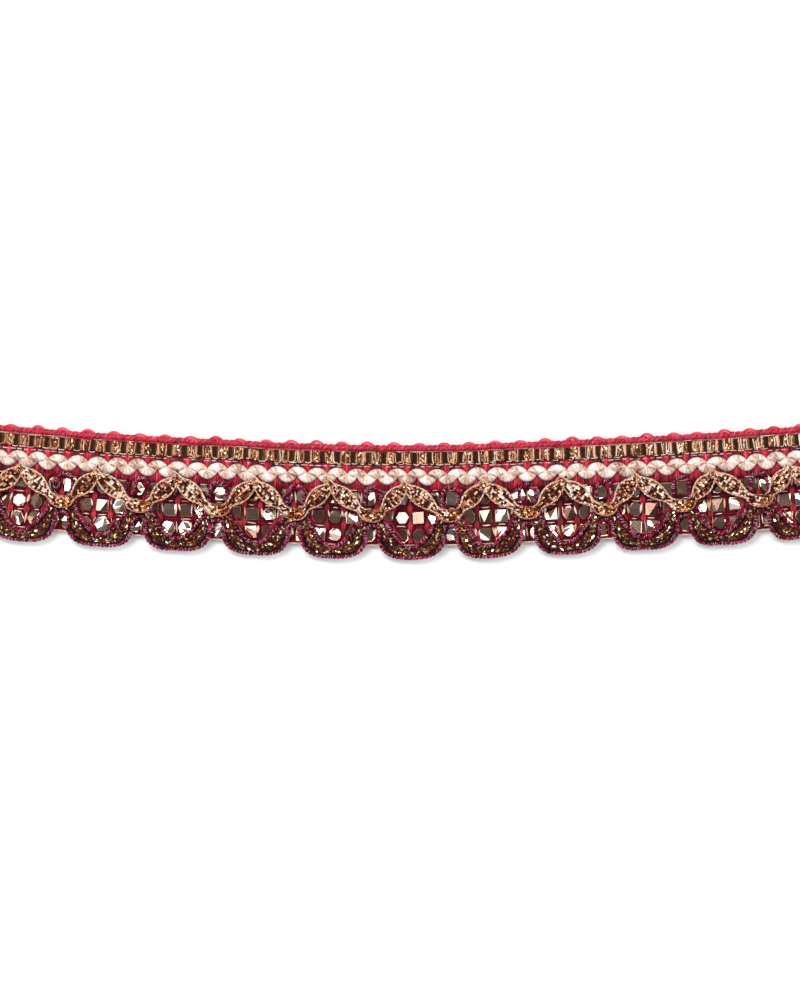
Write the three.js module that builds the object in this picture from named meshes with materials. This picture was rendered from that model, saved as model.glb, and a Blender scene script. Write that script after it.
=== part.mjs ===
// A cut length of scalloped metallic braid trim, lying flat in a gentle curve.
// Millimetres, +Z up. +X runs along the trim, +Y points to its straight corded edge, and the
// scallops hang towards -Y. The origin is the bottom centre of the bounding box.
//
// Every piece is laid out in the trim's own strip coordinates: "along" follows the straight
// edge, "down" is the distance from that edge towards the scallops, "up" is the height.
import * as THREE from "three";

// Driving dimensions of the whole trim
const scallopPitch = 14.87;
const bendRadius = 807;
const tapeThickness = 1.0;
const pieceGap = 0.3;

// One row for each scallop, as uneven as the trim lies. peakShift and lowShift move the top of
// the leaf arch and the bottom of the scallop along the trim, depth is how far the scallop hangs
// below the straight edge, and sway is how far the strip wanders down at the valley before it.
const scallops = [
  { peakShift: 0.1, lowShift: -0.2, depth: 21.8, sway: -0.16 },
  { peakShift: 0.08, lowShift: -0.1, depth: 22.0, sway: -0.16 },
  { peakShift: -0.2, lowShift: 0.1, depth: 21.85, sway: -0.2 },
  { peakShift: 0.31, lowShift: -0.37, depth: 21.75, sway: -0.29 },
  { peakShift: 0.43, lowShift: -0.16, depth: 21.85, sway: -0.31 },
  { peakShift: 0.16, lowShift: -0.33, depth: 22.0, sway: -0.08 },
  { peakShift: -0.31, lowShift: -0.41, depth: 22.1, sway: 0.08 },
  { peakShift: 0, lowShift: -0.58, depth: 22.1, sway: 0.1 },
  { peakShift: 0.31, lowShift: -0.47, depth: 22.0, sway: -0.16 },
  { peakShift: -0.55, lowShift: -0.74, depth: 21.7, sway: -0.2 },
  { peakShift: -0.43, lowShift: -0.62, depth: 21.6, sway: -0.08 },
  { peakShift: -0.51, lowShift: -0.5, depth: 21.5, sway: 0.16 },
];
const lastSway = 0.35;
const nominalDepth = 22;
const peakLead = 0.97; // the leaf arch peaks this far before the middle of its scallop

// Rows of the strip, from the straight edge down. Each repeats at its own pitch, and phase is
// where one of its repeats is centred along the trim.
const edgeCord = { pitch: 4.95, phase: 4.2, centre: 0.38, radius: 0.62, lump: 0.1, wander: 0.16 };
const tape = { top: 0.2, bottom: 19.5, step: 7 };
const ladder = { pitch: 2.97, phase: 0.47, top: 1.45, bottom: 3.6, thickness: 0.3, bar: 0.25 };
const pearl = { pitch: 3.865, phase: 0.77, centre: 5.95, swing: 0.45, lobe: 1.16, neck: 1.1 };
const pearlHalfHeight = 0.72;
const film = { pitch: 3.19, phase: -7.22, bevel: 0.55, groove: 0.16, crown: 0.42 };
const filmRows = [
  { name: "film_row_upper", top: 8.55, bottom: 12.1 },
  { name: "film_row_middle", top: 12.45, bottom: 15.6 },
  { name: "film_row_lower", top: 15.95, bottom: 19.15 },
];

// The three nested waves of the scallop border, from a valley to the bottom of the scallop.
// across is the distance from the valley for an even scallop, down is from the straight edge.
const innerWave = {
  radius: 0.4,
  route: [
    { across: 0, down: 8.2 },
    { across: 0.9, down: 8.5 },
    { across: 1.45, down: 9.3 },
    { across: 1.6, down: 10.6 },
    { across: 1.7, down: 12.2 },
    { across: 2.05, down: 13.7 },
    { across: 2.95, down: 15.6 },
    { across: 4.4, down: 17.8 },
    { across: 5.75, down: 19.2 },
    { across: 7.435, down: 19.9 },
  ],
};
const outerWave = {
  radius: 0.4,
  route: [
    { across: 0, down: 15.6 },
    { across: 0.95, down: 15.95 },
    { across: 1.35, down: 16.9 },
    { across: 1.35, down: 18.1 },
    { across: 1.6, down: 19.4 },
    { across: 2.3, down: 20.5 },
    { across: 3.5, down: 21.3 },
    { across: 5.2, down: 21.75 },
    { across: 7.435, down: 21.85 },
  ],
};
const glitterBraid = {
  thickness: 0.62,
  route: [
    { across: 0, down: 14.1, half: 0.5 },
    { across: 1.1, down: 14.5, half: 0.46 },
    { across: 1.95, down: 15.6, half: 0.42 },
    { across: 2.45, down: 17.0, half: 0.42 },
    { across: 3.1, down: 18.5, half: 0.7 },
    { across: 4.3, down: 19.9, half: 0.72 },
    { across: 5.7, down: 20.5, half: 0.48 },
    { across: 7.435, down: 20.88, half: 0.3 },
  ],
};

// The leaf garland on top, from a valley loop up to the knot at the peak of its arch
const garland = {
  thickness: 0.66,
  route: [
    { across: 0, down: 13.75, half: 1.35 },
    { across: 1.15, down: 13.45, half: 1.2 },
    { across: 2.1, down: 12.5, half: 0.6 },
    { across: 3.3, down: 11.2, half: 1.15 },
    { across: 4.5, down: 9.9, half: 1.25 },
    { across: 5.6, down: 8.75, half: 0.75 },
    { across: 6.465, down: 7.75, half: 0.62 },
  ],
};

// Heights of the layers
const layTop = tapeThickness + pieceGap;
const cordBed = layTop + film.crown + pieceGap;
const garlandBed = cordBed + 2 * outerWave.radius + pieceGap;
const borderDrop = 0.85; // the border sags by this much where it hangs past the tape
const dropFrom = 19.2;
const dropTo = 21.6;

const scallopCount = scallops.length;
const firstValley = (-scallopCount * scallopPitch) / 2;
const lastValley = -firstValley;

const valleyAt = (index) => firstValley + index * scallopPitch;

function swayAt(along) {
  const place = (along - firstValley) / scallopPitch;
  const index = THREE.MathUtils.clamp(Math.floor(place), 0, scallopCount - 1);
  const before = scallops[index].sway;
  const after = index + 1 < scallopCount ? scallops[index + 1].sway : lastSway;
  const blend = (1 - Math.cos(Math.PI * THREE.MathUtils.clamp(place - index, 0, 1))) / 2;
  return THREE.MathUtils.lerp(before, after, blend);
}

// Strip coordinates to the part's frame: the straight edge is an arc that curves up at its ends
function onTrim(along, down, up) {
  const angle = along / bendRadius;
  const radius = bendRadius + down + swayAt(along);
  return new THREE.Vector3(radius * Math.sin(angle), bendRadius - radius * Math.cos(angle), up);
}

// One closed solid through a row of rings that all have the same number of points
function loft(rings) {
  const sides = rings[0].length;
  const positions = rings.flat().flatMap((point) => [point.x, point.y, point.z]);
  const faces = [];
  for (let ring = 0; ring + 1 < rings.length; ring++) {
    for (let side = 0; side < sides; side++) {
      const next = (side + 1) % sides;
      const here = ring * sides;
      const there = here + sides;
      faces.push(here + side, here + next, there + next);
      faces.push(here + side, there + next, there + side);
    }
  }
  const end = (rings.length - 1) * sides;
  for (let side = 1; side + 1 < sides; side++) {
    faces.push(0, side + 1, side);
    faces.push(end, end + side, end + side + 1);
  }
  const geometry = new THREE.BufferGeometry();
  geometry.setAttribute("position", new THREE.Float32BufferAttribute(positions, 3));
  geometry.setIndex(faces);
  geometry.computeVertexNormals();
  return geometry;
}

// A ring square to the trim, from outline points of { down, up }, clockwise seen along the trim
function crossRing(along, outline) {
  return outline.map((point) => onTrim(along, point.down, point.up));
}

// Stations from end to end of the trim at the given shares of each repeat. turn counts the
// repeats from the one at the phase, so its fraction says where in a repeat a station lies.
function repeatStations({ pitch, phase }, shares) {
  const clearOfEnd = 0.12;
  const from = Math.floor((firstValley - phase) / pitch);
  const count = Math.ceil((lastValley - firstValley) / pitch) + 2;
  const turns = Array.from({ length: count }, (_, repeat) =>
    shares.map((share) => from + repeat + share),
  ).flat();
  const alongs = turns
    .map((turn) => phase + turn * pitch)
    .filter((along) => along > firstValley + clearOfEnd && along < lastValley - clearOfEnd);
  return [firstValley, ...alongs, lastValley].map((along) => ({
    along,
    turn: (along - phase) / pitch,
  }));
}

const evenShares = (count) => Array.from({ length: count }, (_, step) => step / count);
const fromMiddle = (turn) => Math.abs(turn - Math.round(turn));

function ellipse(centre, halfDown, centreUp, halfUp, sides, turn = 0) {
  return Array.from({ length: sides }, (_, side) => {
    const angle = turn - (2 * Math.PI * side) / sides;
    return { down: centre + halfDown * Math.cos(angle), up: centreUp + halfUp * Math.sin(angle) };
  });
}

// The whole route of a wave, valley to valley, from its half route. Each scallop stretches the
// half route to its own low point and depth.
function waveStations(route, turnShift, depthShift) {
  const halfPitch = route[route.length - 1].across;
  const stations = [];
  scallops.forEach((scallop, index) => {
    const valley = valleyAt(index);
    const turn = scallopPitch / 2 + turnShift(scallop);
    const reach = (point) => point.across / halfPitch;
    const lower = (point) => point.down + depthShift(scallop) * reach(point) ** 2;
    route.slice(0, -1).forEach((point) => {
      stations.push({ ...point, along: valley + turn * reach(point), down: lower(point) });
    });
    route
      .slice(1)
      .reverse()
      .forEach((point) => {
        const along = valley + scallopPitch - (scallopPitch - turn) * reach(point);
        stations.push({ ...point, along, down: lower(point) });
      });
  });
  stations.push({ ...route[0], along: lastValley });
  return stations;
}

const bedAt = (down) => cordBed - borderDrop * THREE.MathUtils.smoothstep(down, dropFrom, dropTo);

// A solid along stations of { along, down }, whose rings stand square to the route.
// outlineOf gives a station's ring as { side, up }, side being to the left of the route.
function sweepRoute(stations, outlineOf) {
  const rings = stations.map((station, index) => {
    const before = stations[Math.max(index - 1, 0)];
    const after = stations[Math.min(index + 1, stations.length - 1)];
    const heading = new THREE.Vector2(after.along - before.along, after.down - before.down);
    if (index === 0 || index === stations.length - 1) heading.y = 0;
    heading.normalize();
    return outlineOf(station, index).map(({ side, up }) =>
      onTrim(station.along - side * heading.y, station.down + side * heading.x, up),
    );
  });
  return loft(rings);
}

function cordRing(radius, bed, sides) {
  return Array.from({ length: sides }, (_, side) => {
    const angle = -(2 * Math.PI * (side + 0.5)) / sides;
    return { side: radius * Math.cos(angle), up: bed + radius + radius * Math.sin(angle) };
  });
}

function tapeGeometry() {
  const outline = [
    { down: tape.bottom, up: tapeThickness },
    { down: tape.bottom, up: 0 },
    { down: tape.top, up: 0 },
    { down: tape.top, up: tapeThickness },
  ];
  const stations = repeatStations({ pitch: tape.step, phase: 0 }, [0]);
  return loft(stations.map(({ along }) => crossRing(along, outline)));
}

// The rolled edge cord lies on the tape's edge and swells and leans once in each lump
function edgeCordGeometry() {
  const { radius } = edgeCord;
  const rings = repeatStations(edgeCord, evenShares(4)).map(({ along, turn }) => {
    const swell = Math.cos(2 * Math.PI * turn);
    const half = radius + edgeCord.lump * swell;
    const centre = edgeCord.centre - edgeCord.wander * swell;
    return crossRing(along, ellipse(centre, half, layTop + radius, radius, 6, Math.PI / 6));
  });
  return loft(rings);
}

// Flat film ribbon with a raised bar across it for each thread that binds it down
function ladderGeometry() {
  const barReach = 0.34;
  const rings = repeatStations(ladder, [0, barReach, 1 - barReach]).map(({ along, turn }) => {
    const rise = Math.max(0, 1 - fromMiddle(turn) / barReach) * ladder.bar;
    const up = layTop + ladder.thickness + rise;
    return crossRing(along, [
      { down: ladder.bottom, up },
      { down: ladder.bottom, up: layTop },
      { down: ladder.top, up: layTop },
      { down: ladder.top, up },
    ]);
  });
  return loft(rings);
}

// Satin cord whose two rows of fat rounded lobes swing up and down
function pearlGeometry() {
  const rings = repeatStations(pearl, evenShares(6)).map(({ along, turn }) => {
    const wave = Math.cos(2 * Math.PI * turn);
    const swing = Math.sign(wave) * Math.abs(wave) ** 0.7;
    const half = THREE.MathUtils.lerp(pearl.neck, pearl.lobe, Math.abs(swing));
    const centre = pearl.centre - pearl.swing * swing;
    return crossRing(along, ellipse(centre, half, layTop + pearlHalfHeight, pearlHalfHeight, 6));
  });
  return loft(rings);
}

// Film ribbon that bulges into one bubble in each cell, with a groove where a thread holds it
function filmRowGeometry(row) {
  const rings = repeatStations(film, [0, 0.5]).map(({ along, turn }) => {
    const rise = 1 - 2 * fromMiddle(turn);
    const up = layTop + THREE.MathUtils.lerp(film.groove, film.crown, rise);
    return crossRing(along, [
      { down: row.bottom - film.bevel, up },
      { down: row.bottom, up: layTop },
      { down: row.top, up: layTop },
      { down: row.top + film.bevel, up },
    ]);
  });
  return loft(rings);
}

const lowTurn = (scallop) => scallop.lowShift;
const lowDepth = (scallop) => scallop.depth - nominalDepth;

function waveCordGeometry(wave) {
  const stations = waveStations(wave.route, lowTurn, lowDepth);
  return sweepRoute(stations, (station) => cordRing(wave.radius, bedAt(station.down), 5));
}

function braidGeometry() {
  const { thickness, route } = glitterBraid;
  const stations = waveStations(route, lowTurn, lowDepth);
  return sweepRoute(stations, ({ half, down }) => {
    const bed = bedAt(down);
    return [
      { side: half, up: bed + thickness / 2 },
      { side: half * 0.6, up: bed },
      { side: -half * 0.6, up: bed },
      { side: -half, up: bed + thickness / 2 },
      { side: 0, up: bed + thickness },
    ];
  });
}

function garlandGeometry() {
  const { thickness, route } = garland;
  const evenPeak = -peakLead;
  const stations = waveStations(route, (scallop) => evenPeak + scallop.peakShift, () => 0);
  return sweepRoute(stations, ({ half }) => [
    { side: half, up: garlandBed + thickness * 0.5 },
    { side: half * 0.8, up: garlandBed },
    { side: -half * 0.8, up: garlandBed },
    { side: -half, up: garlandBed + thickness * 0.5 },
    { side: -half * 0.55, up: garlandBed + thickness },
    { side: half * 0.55, up: garlandBed + thickness },
  ]);
}

const finishes = {
  crimsonYarn: { color: 0xb83345, roughness: 0.75, metalness: 0 },
  crimsonWeave: { color: 0x8e2a36, roughness: 0.8, metalness: 0 },
  bronzeFilm: { color: 0x6b4a36, roughness: 0.25, metalness: 0.9 },
  pearlSatin: { color: 0xe2c8bb, roughness: 0.35, metalness: 0 },
  magentaYarn: { color: 0xb0306e, roughness: 0.4, metalness: 0.5 },
  bronzeYarn: { color: 0x5a3a24, roughness: 0.4, metalness: 0.7 },
  goldYarn: { color: 0xc49a52, roughness: 0.3, metalness: 0.9 },
};

const pieces = [
  ["woven_tape", tapeGeometry(), "crimsonWeave"],
  ["edge_cord", edgeCordGeometry(), "crimsonYarn"],
  ["ladder_ribbon", ladderGeometry(), "bronzeFilm"],
  ["pearl_zigzag", pearlGeometry(), "pearlSatin"],
  ...filmRows.map((row) => [row.name, filmRowGeometry(row), "bronzeFilm"]),
  ["inner_wave_cord", waveCordGeometry(innerWave), "magentaYarn"],
  ["outer_wave_cord", waveCordGeometry(outerWave), "magentaYarn"],
  ["glitter_braid", braidGeometry(), "bronzeYarn"],
  ["leaf_garland", garlandGeometry(), "goldYarn"],
];

const trim = new THREE.Group();
for (const [name, geometry, finish] of pieces) {
  const mesh = new THREE.Mesh(geometry, new THREE.MeshStandardMaterial(finishes[finish]));
  mesh.name = name;
  trim.add(mesh);
}

// The part's origin: the middle of its box, on the surface that it lies on
const box = new THREE.Box3().setFromObject(trim, true);
const middle = box.getCenter(new THREE.Vector3());
trim.position.set(-middle.x, -middle.y, -box.min.z);

export default trim;
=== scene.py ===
import math

import bmesh
import bpy
import numpy as np
from mathutils import Matrix, Vector


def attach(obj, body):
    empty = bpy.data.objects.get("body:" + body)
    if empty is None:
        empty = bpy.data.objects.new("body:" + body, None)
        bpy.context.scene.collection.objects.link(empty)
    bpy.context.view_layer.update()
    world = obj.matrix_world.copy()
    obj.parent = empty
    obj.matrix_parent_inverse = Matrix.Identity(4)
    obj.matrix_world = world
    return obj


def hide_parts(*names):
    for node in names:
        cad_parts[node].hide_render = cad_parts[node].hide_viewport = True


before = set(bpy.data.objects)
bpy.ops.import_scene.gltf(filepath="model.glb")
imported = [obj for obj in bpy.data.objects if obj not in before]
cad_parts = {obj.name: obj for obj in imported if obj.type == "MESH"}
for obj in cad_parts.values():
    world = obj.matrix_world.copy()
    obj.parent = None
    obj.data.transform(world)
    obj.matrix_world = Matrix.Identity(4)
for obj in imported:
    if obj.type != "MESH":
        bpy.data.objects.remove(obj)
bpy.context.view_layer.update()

mm = 0.001
fullTurn = 2 * math.pi

# The trim is laid out in strip coordinates, in mm: along the straight edge, down towards the
# scallops and up from the surface it lies on. onTrim bends them onto the arc that it lies in.
strip = {
    "bendRadius": 807.0,
    "pitch": 14.87,  # from valley to valley
    "originAlong": -0.028,  # from the strip's own middle to the middle of the part's box
    "originDown": 8.459,
    "peakLead": 0.97,  # the leaf arch peaks this far before the middle of its scallop
    "nominalDepth": 22.0,
    "lastSway": 0.35,
}

# How each scallop differs: where its leaf peak and its low point lie, how deep it hangs, and
# how far the strip wanders at the valley before it
scallopRows = [
    {"peak": 0.1, "low": -0.2, "depth": 21.8, "sway": -0.16},
    {"peak": 0.08, "low": -0.1, "depth": 22.0, "sway": -0.16},
    {"peak": -0.2, "low": 0.1, "depth": 21.85, "sway": -0.2},
    {"peak": 0.31, "low": -0.37, "depth": 21.75, "sway": -0.29},
    {"peak": 0.43, "low": -0.16, "depth": 21.85, "sway": -0.31},
    {"peak": 0.16, "low": -0.33, "depth": 22.0, "sway": -0.08},
    {"peak": -0.31, "low": -0.41, "depth": 22.1, "sway": 0.08},
    {"peak": 0.0, "low": -0.58, "depth": 22.1, "sway": 0.1},
    {"peak": 0.31, "low": -0.47, "depth": 22.0, "sway": -0.16},
    {"peak": -0.55, "low": -0.74, "depth": 21.7, "sway": -0.2},
    {"peak": -0.43, "low": -0.62, "depth": 21.6, "sway": -0.08},
    {"peak": -0.51, "low": -0.5, "depth": 21.5, "sway": 0.16},
]
scallopCount = len(scallopRows)
firstValley = -scallopCount * strip["pitch"] / 2
lastValley = -firstValley
trimLength = lastValley - firstValley
sways = np.array([row["sway"] for row in scallopRows] + [strip["lastSway"]])

# Heights of the layers, in mm
layers = {"tapeTop": 1.0, "cordBed": 2.02, "garlandBed": 3.12}
borderDrop = {"by": 0.85, "start": 19.2, "end": 21.6}


def swayAt(along):
    place = np.clip((along - firstValley) / strip["pitch"], 0, scallopCount - 1e-6)
    index = place.astype(int)
    blend = (1 - np.cos(math.pi * (place - index))) / 2
    return sways[index] * (1 - blend) + sways[index + 1] * blend


def onTrim(points):  # strip points (n, 3) to the part's frame, all in mm
    along, down, up = np.asarray(points, float).T
    reach = strip["bendRadius"] + down + swayAt(along)
    angle = along / strip["bendRadius"]
    x = reach * np.sin(angle) + strip["originAlong"]
    y = strip["bendRadius"] - reach * np.cos(angle) + strip["originDown"]
    return np.stack([x, y, up], 1)


def bedAt(down):  # the border sags where it hangs past the tape
    share = np.clip((down - borderDrop["start"]) / (borderDrop["end"] - borderDrop["start"]), 0, 1)
    return layers["cordBed"] - borderDrop["by"] * share * share * (3 - 2 * share)


def isWithin(along, margin):  # whether a place is this far or farther from both cut ends
    return firstValley + margin < along < lastValley - margin


def linear(hexText):  # an sRGB hex colour as the linear colour that a shader takes
    parts = [int(hexText[i : i + 2], 16) / 255 for i in (1, 3, 5)]
    return tuple(c / 12.92 if c <= 0.04045 else ((c + 0.055) / 1.055) ** 2.4 for c in parts) + (1.0,)


def setInputs(tree, node, inputs):  # a socket is linked, any other value is set as it is
    for key, value in inputs.items():
        if isinstance(value, bpy.types.NodeSocket):
            tree.links.new(value, node.inputs[key])
        else:
            node.inputs[key].default_value = value


def addNode(tree, kind, settings=None, inputs=None):
    node = tree.nodes.new(kind)
    for key, value in (settings or {}).items():
        if key != "stops":
            setattr(node, key, value)
            continue
        ramp = node.color_ramp
        while len(ramp.elements) < len(value):
            ramp.elements.new(1.0)
        for element, (place, hexText) in zip(ramp.elements, value):
            element.position = place
            element.color = linear(hexText)
    setInputs(tree, node, inputs or {})
    return node


def newMaterial(name):
    material = bpy.data.materials.new(name)
    material.use_nodes = True
    tree = material.node_tree
    return material, tree, tree.nodes["Principled BSDF"]


def strandColour(tree, stops, grainMm, grainShare):
    # each strand has its own shade, and a fine grain runs over it
    shade = addNode(tree, "ShaderNodeAttribute", {"attribute_name": "shade"})
    place = addNode(tree, "ShaderNodeTexCoord").outputs["Object"]
    spread = {"Vector": place, "Scale": 1 / (grainMm * mm), "Detail": 2.0}
    grain = addNode(tree, "ShaderNodeTexNoise", inputs=spread)
    centred = {0: grain.outputs["Fac"], 1: grainShare, 2: -grainShare / 2}
    lift = addNode(tree, "ShaderNodeMath", {"operation": "MULTIPLY_ADD"}, centred)
    both = {0: shade.outputs["Fac"], 1: lift.outputs[0]}
    tone = addNode(tree, "ShaderNodeMath", {"operation": "ADD"}, both)
    ramp = addNode(tree, "ShaderNodeValToRGB", {"stops": stops}, {"Fac": tone.outputs[0]})
    return ramp.outputs["Color"]


def fibreRelief(tree, around, perMm, depthMm):
    # fine fibres that run round a strand: u is mm along it, v is turns round it
    place = addNode(tree, "ShaderNodeTexCoord").outputs["UV"]
    scaled = {"Vector": place, "Scale": (perMm, around, 1.0)}
    lean = addNode(tree, "ShaderNodeMapping", inputs=scaled)
    parts = addNode(tree, "ShaderNodeSeparateXYZ", inputs={"Vector": lean.outputs[0]}).outputs
    total = addNode(tree, "ShaderNodeMath", {"operation": "ADD"}, {0: parts[0], 1: parts[1]})
    turned = {0: total.outputs[0], 1: fullTurn}
    turns = addNode(tree, "ShaderNodeMath", {"operation": "MULTIPLY"}, turned)
    wave = addNode(tree, "ShaderNodeMath", {"operation": "SINE"}, {0: turns.outputs[0]})
    raised = {"Height": wave.outputs[0], "Strength": 1.0, "Distance": depthMm * mm}
    return addNode(tree, "ShaderNodeBump", inputs=raised).outputs["Normal"]


def creaseRelief(tree, creaseMm, depthMm):  # small random creases in metallised film
    place = addNode(tree, "ShaderNodeTexCoord").outputs["Object"]
    cells = {"feature": "F1", "distance": "EUCLIDEAN"}
    spread = {"Vector": place, "Scale": 1 / (creaseMm * mm)}
    crease = addNode(tree, "ShaderNodeTexVoronoi", cells, spread)
    raised = {"Height": crease.outputs["Distance"], "Strength": 1.0, "Distance": depthMm * mm}
    return addNode(tree, "ShaderNodeBump", inputs=raised).outputs["Normal"]


print("materials")

# What the threads, yarns and films are. "stops" are a material's tones from its darkest strand to
# its brightest, "grain" the fine grain over them, "fibres" or "creases" its relief, drawn as
# coarse as it needs to be to show
finishes = {
    # spun viscose, twisted: a soft sheen over fine diagonal fibres
    "crimsonViscoseYarn": {
        "stops": [(0.0, "#4A0610"), (0.3, "#9A0E28"), (0.65, "#D41F40"), (1.0, "#FF6C80")],
        "grain": {"grainMm": 0.25, "grainShare": 0.5},
        "fibres": {"around": 5, "perMm": 1.6, "depthMm": 0.03},
        "surface": {"Roughness": 0.42, "IOR": 1.5},
    },
    # metallised polyester film, bronze lacquered: a mirror that creases sharply
    "bronzeMetallisedFilm": {
        "stops": [(0.0, "#8A5C48"), (0.35, "#98694A"), (0.7, "#DCB896"), (1.0, "#FFF6E8")],
        "grain": {"grainMm": 0.5, "grainShare": 0.25},
        "creases": {"creaseMm": 0.7, "depthMm": 0.02},
        "surface": {"Metallic": 1.0, "Roughness": 0.18},
    },
    # the embossed bubbles: the same film in copper pink, pressed smooth and nearly a mirror, with
    # crimson lacquer over it between them
    "copperMirrorFilm": {
        "stops": [
            (0.0, "#54081A"),
            (0.16, "#941830"),
            (0.27, "#8A4C44"),
            (0.6, "#DCB09C"),
            (1.0, "#FFF4EC"),
        ],
        "grain": {"grainMm": 0.9, "grainShare": 0.06},
        "surface": {"Roughness": 0.14},
    },
    # filament rayon laid parallel, like floss: pearly, with a lustre across its fine lines
    "pearlRayonFloss": {
        "stops": [
            (0.0, "#6A3C30"),
            (0.3, "#B08270"),
            (0.6, "#E4C4B2"),
            (0.85, "#FFF2E8"),
            (1.0, "#FFFAF6"),
        ],
        "grain": {"grainMm": 0.7, "grainShare": 0.6},
        "surface": {"Roughness": 0.28, "IOR": 1.5, "Coat Weight": 0.8, "Coat Roughness": 0.12},
    },
    # magenta lacquered foil yarn, two plies twisted, maroon, with painted glints: its brightest tones
    # are painted highlights on the turns of its foil
    "magentaFoilYarn": {
        "stops": [
            (0.0, "#3A0614"),
            (0.35, "#94103A"),
            (0.6, "#EC3078"),
            (0.8, "#FF64A0"),
            (1.0, "#FFC4D4"),
        ],
        "grain": {"grainMm": 0.3, "grainShare": 0.6},
        "fibres": {"around": 3, "perMm": 2.2, "depthMm": 0.05},
        "surface": {"Metallic": 0.6, "Roughness": 0.32},
    },
    # dark brown yarn plaited with a little gold foil, half dull and half glinting
    "bronzeFoilYarn": {
        "stops": [(0.0, "#240605"), (0.45, "#541610"), (0.8, "#B2683A"), (1.0, "#FFE4B4")],
        "grain": {"grainMm": 0.3, "grainShare": 0.5},
        "fibres": {"around": 4, "perMm": 1.8, "depthMm": 0.04},
        "surface": {"Metallic": 0.6, "Roughness": 0.35},
    },
    # crumpled gold foil: every facet is a small mirror of its own tone
    "goldFoilGlitter": {
        "stops": [(0.0, "#381208"), (0.35, "#965030"), (0.65, "#F4BE98"), (1.0, "#FFFAF2")],
        "grain": {"grainMm": 0.6, "grainShare": 0.1},
        "surface": {"Metallic": 0.72, "Roughness": 0.26},
    },
    # pale pink gold foil yarn round the leaves: light, with little of a mirror left in it
    "paleGoldFoilYarn": {
        "stops": [(0.0, "#843E2C"), (0.4, "#D08A68"), (0.7, "#F8CCAA"), (1.0, "#FFF6EA")],
        "grain": {"grainMm": 0.4, "grainShare": 0.5},
        "fibres": {"around": 2, "perMm": 2.4, "depthMm": 0.04},
        "surface": {"Metallic": 0.15, "Roughness": 0.3},
    },
    # amber foil in the valley loops, deep orange in its darker tones
    "amberFoil": {
        "stops": [(0.0, "#4A1C0C"), (0.4, "#B4622E"), (0.7, "#F2BC84"), (1.0, "#FFF6E4")],
        "grain": {"grainMm": 0.4, "grainShare": 0.2},
        "surface": {"Metallic": 0.8, "Roughness": 0.24},
    },
}


def makeFinish(name):
    finish = finishes[name]
    material, tree, shader = newMaterial(name)
    inputs = {"Base Color": strandColour(tree, finish["stops"], **finish["grain"])}
    if "fibres" in finish:
        inputs["Normal"] = fibreRelief(tree, **finish["fibres"])
    if "creases" in finish:
        inputs["Normal"] = creaseRelief(tree, **finish["creases"])
    setInputs(tree, shader, {**inputs, **finish["surface"]})
    return material


def makeMirrorFilm():
    # the crimson lacquer between the bubbles hides most of the metal
    lacquered = {"From Min": 0.14, "From Max": 0.24, "To Min": 0.25}
    material = makeFinish("copperMirrorFilm")
    tree = material.node_tree
    tone = addNode(tree, "ShaderNodeAttribute", {"attribute_name": "shade"}).outputs["Fac"]
    bare = addNode(tree, "ShaderNodeMapRange", inputs={"Value": tone, **lacquered})
    setInputs(tree, tree.nodes["Principled BSDF"], {"Metallic": bare.outputs["Result"]})
    return material


# The ground tape: a dense warp rib of the same viscose, dull because its threads are tight. Its
# UV map is in mm along and across, so the threads keep their real spacing
weave = {
    "ribMm": 0.62,
    "warpMm": 0.42,
    "stops": [(0.0, "#380610"), (0.5, "#74101E"), (1.0, "#A81C2E")],
    "paintedShadeByHeight": 0.35,
    "depthMm": 0.06,
    "surface": {"Roughness": 0.75, "IOR": 1.5},
}


def makeCrimsonWeave():
    material, tree, shader = newMaterial("crimsonRibWeave")
    place = addNode(tree, "ShaderNodeTexCoord").outputs["UV"]
    parts = addNode(tree, "ShaderNodeSeparateXYZ", inputs={"Vector": place}).outputs
    threads = []
    for part, spacing in ((parts[0], weave["ribMm"]), (parts[1], weave["warpMm"])):
        spaced = {0: part, 1: fullTurn / spacing}
        turns = addNode(tree, "ShaderNodeMath", {"operation": "MULTIPLY"}, spaced)
        wave = addNode(tree, "ShaderNodeMath", {"operation": "SINE"}, {0: turns.outputs[0]})
        threads.append(wave.outputs[0])
    crossed = {0: threads[0], 1: threads[1]}
    height = addNode(tree, "ShaderNodeMath", {"operation": "MULTIPLY"}, crossed).outputs[0]
    # painted shade: the weave's tone follows its thread height, darker in the dips between the threads
    centred = {0: height, 1: weave["paintedShadeByHeight"], 2: 0.5}
    tone = addNode(tree, "ShaderNodeMath", {"operation": "MULTIPLY_ADD"}, centred).outputs[0]
    ramp = addNode(tree, "ShaderNodeValToRGB", {"stops": weave["stops"]}, {"Fac": tone})
    raised = {"Height": height, "Strength": 1.0, "Distance": weave["depthMm"] * mm}
    bump = addNode(tree, "ShaderNodeBump", inputs=raised)
    inputs = {"Base Color": ramp.outputs["Color"], "Normal": bump.outputs["Normal"]}
    setInputs(tree, shader, {**inputs, **weave["surface"]})
    return material


crimsonYarn = makeFinish("crimsonViscoseYarn")
crimsonWeave = makeCrimsonWeave()
bronzeFilm = makeFinish("bronzeMetallisedFilm")
mirrorFilm = makeMirrorFilm()
pearlFloss = makeFinish("pearlRayonFloss")
magentaYarn = makeFinish("magentaFoilYarn")
bronzeYarn = makeFinish("bronzeFoilYarn")
goldGlitter = makeFinish("goldFoilGlitter")
paleGoldYarn = makeFinish("paleGoldFoilYarn")
amberFoil = makeFinish("amberFoil")


def readPoints(mesh):
    flat = np.zeros(len(mesh.vertices) * 3)
    mesh.vertices.foreach_get("co", flat)
    return flat.reshape(-1, 3)


def cornersOf(mesh):  # the vertex at each corner of each face
    corners = np.zeros(len(mesh.loops), int)
    mesh.loops.foreach_get("vertex_index", corners)
    return corners


def setShade(mesh, values):
    layer = mesh.attributes.get("shade") or mesh.attributes.new("shade", "FLOAT", "POINT")
    layer.data.foreach_set("value", np.asarray(values, np.float32))


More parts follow.
